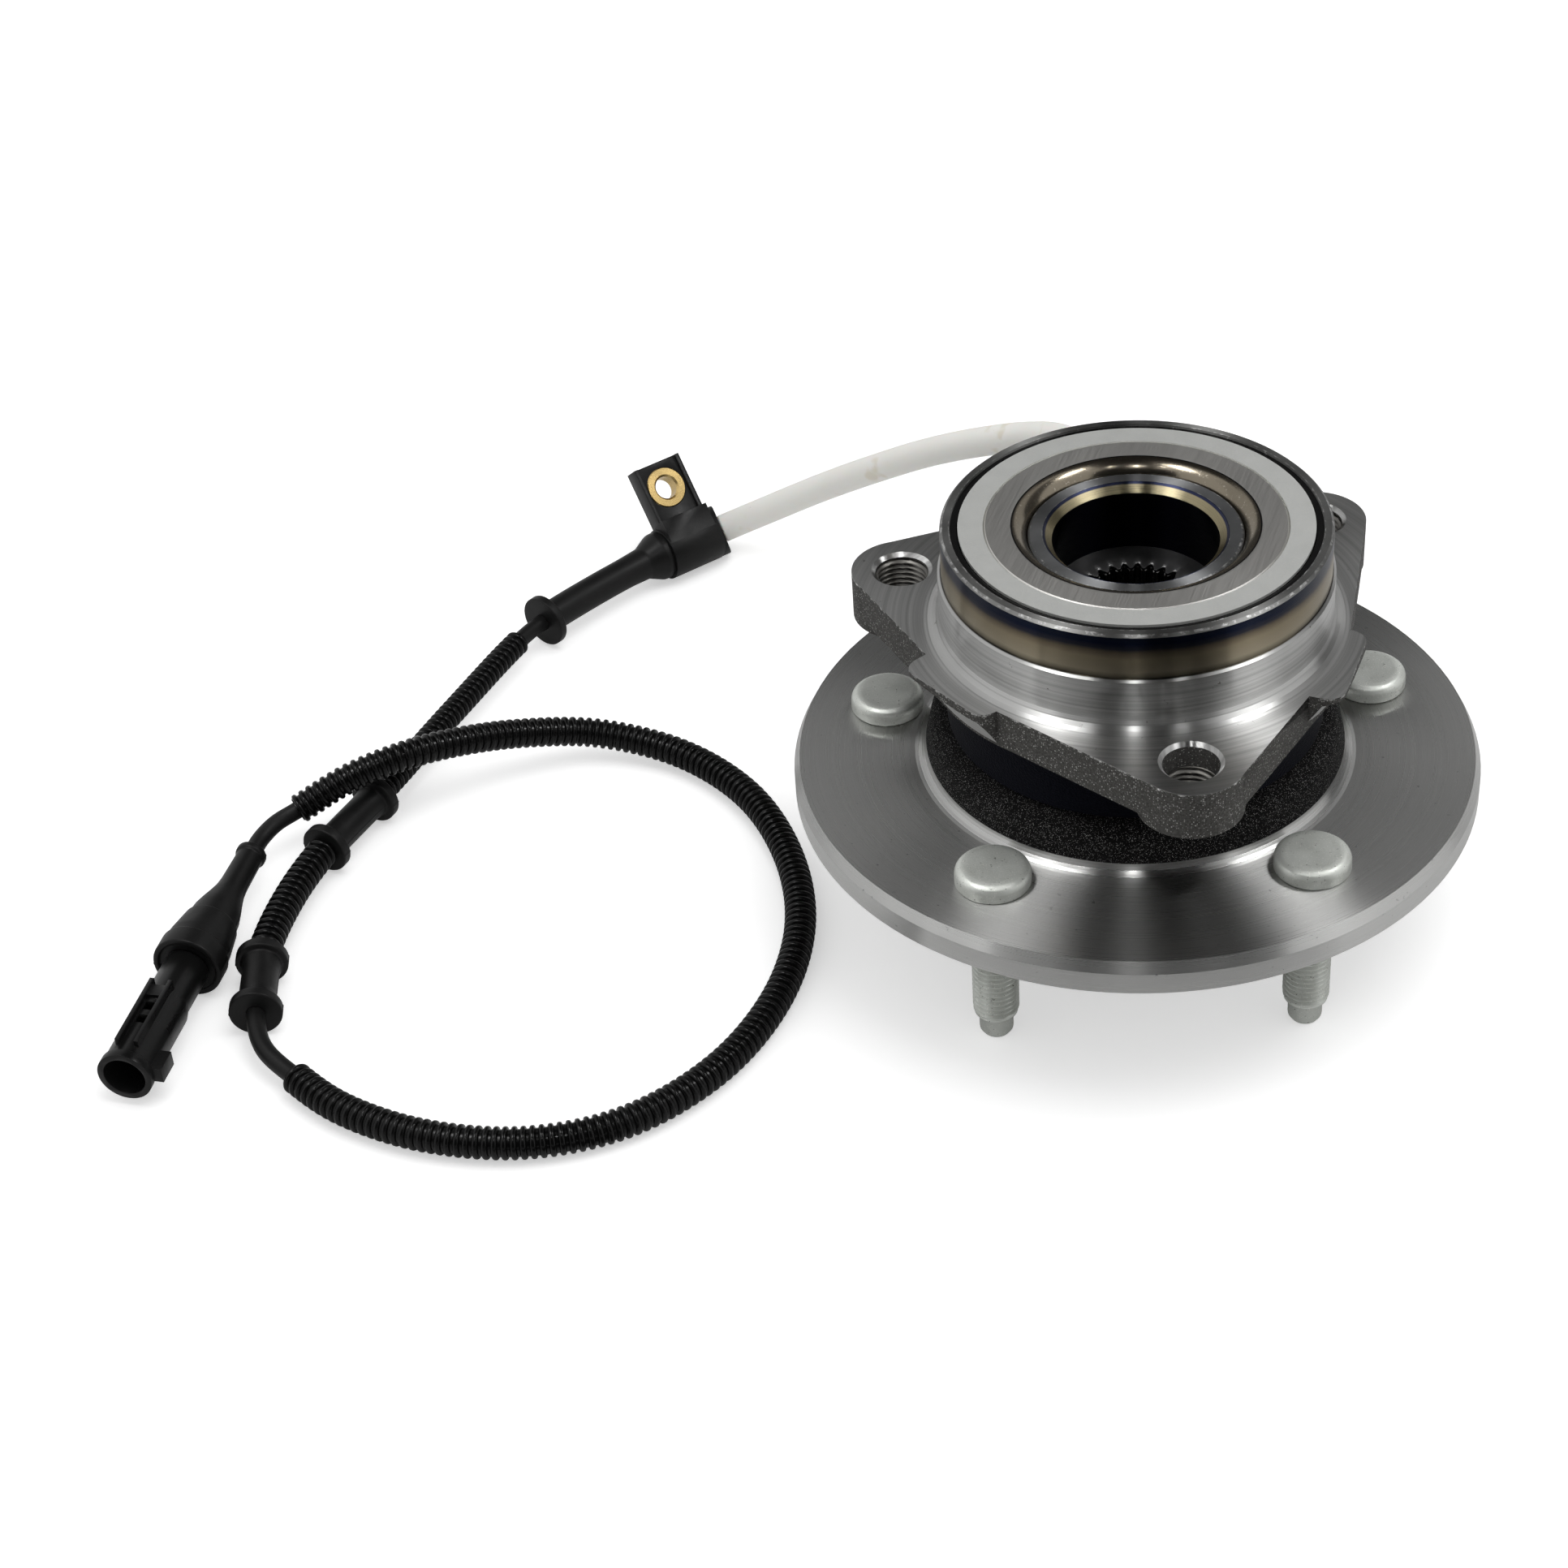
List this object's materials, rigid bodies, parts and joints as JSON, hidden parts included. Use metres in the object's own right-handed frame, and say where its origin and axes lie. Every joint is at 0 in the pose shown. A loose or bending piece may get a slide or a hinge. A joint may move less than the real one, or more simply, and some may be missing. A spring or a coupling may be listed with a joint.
{
  "type": "wheel hub bearing",
  "caption": "Driven wheel hub on double row tapered rollers in a flanged housing, with wheel studs, a splined bore, cassette seals and a speed sensor on a sleeved lead.",
  "frame": {"origin": "on the hub axis, in the plane of the wheel stud tips that the unit stands on", "axes": "+Z along the hub axis from the wheel side to the knuckle side, +Y towards the speed sensor at the back, +X to the right as seen from the front"},
  "size_m": [0.3635, 0.2833, 0.1185],
  "materials": {
    "machined_forging": "turned bright steel with dark scale left on the boss",
    "zinc": "dull greenish grey zinc plating",
    "ground_steel": "ground bearing steel with a diagonal grain",
    "dark_steel": "dark sintered steel",
    "zinc_sheet": "pale zinc plated sheet",
    "cage_steel": "phosphated pressed steel",
    "roller_steel": "ground and polished",
    "cast_housing": "grainy forged sides, machined faces and a heat tinted spigot",
    "seal_rubber": "black nitrile",
    "sensor_plastic": "black moulded nylon",
    "cable_jacket": "satin black jacket",
    "sleeve": "pale silicone heat sleeve",
    "grommet_rubber": "matt black rubber",
    "brass": "turned brass",
    "tube_plastic": "glossy black corrugated tube",
    "shell_plastic": "glossy black moulded nylon",
    "terminal_brass": "tinned brass"
  },
  "bodies": {
    "housing_unit": {"housing": "cast_housing", "outboard_seal_case": "dark_steel", "outboard_seal_lip": "seal_rubber", "inboard_seal_case": "dark_steel", "inboard_seal_lip": "seal_rubber", "speed_sensor": "sensor_plastic", "sensor_o_ring": "seal_rubber", "sensor_tip": "dark_steel", "sensor_screw": "zinc", "lead_cable": "cable_jacket", "heat_sleeve": "sleeve", "bracket_grommet": "grommet_rubber", "bracket_clip": "sensor_plastic", "bracket_bush": "brass", "upper_tube": "tube_plastic", "middle_grommet": "grommet_rubber", "middle_tube": "tube_plastic", "lower_grommet": "grommet_rubber", "long_tube": "tube_plastic", "connector_boot": "grommet_rubber", "connector_shell": "shell_plastic", "connector_terminals": "terminal_brass"},
    "hub_unit": {"hub": "machined_forging", "wheel_studs": "zinc", "outboard_cone": "ground_steel", "inboard_cone": "ground_steel", "tone_ring": "dark_steel", "outboard_slinger": "zinc_sheet", "inboard_slinger": "zinc_sheet"},
    "outboard_roller_set": {"outboard_cage": "cage_steel", "outboard_rollers": "roller_steel"},
    "inboard_roller_set": {"inboard_cage": "cage_steel", "inboard_rollers": "roller_steel"}
  },
  "joints": [
    {"name": "hub_spin", "type": "hinge", "parent": "housing_unit", "child": "hub_unit", "pos_m": [0, 0, 0.0905], "axis": [0, 0, 1], "continuous": true},
    {"name": "outboard_cage_spin", "type": "hinge", "parent": "housing_unit", "child": "outboard_roller_set", "pos_m": [0, 0, 0.0765], "axis": [0, 0, 1], "continuous": true},
    {"name": "inboard_cage_spin", "type": "hinge", "parent": "housing_unit", "child": "inboard_roller_set", "pos_m": [0, 0, 0.1045], "axis": [0, 0, 1], "continuous": true}
  ],
  "couplings": [
    {"joint": "outboard_cage_spin", "follows": "hub_spin", "ratio": 0.4427},
    {"joint": "inboard_cage_spin", "follows": "hub_spin", "ratio": 0.4427}
  ]
}
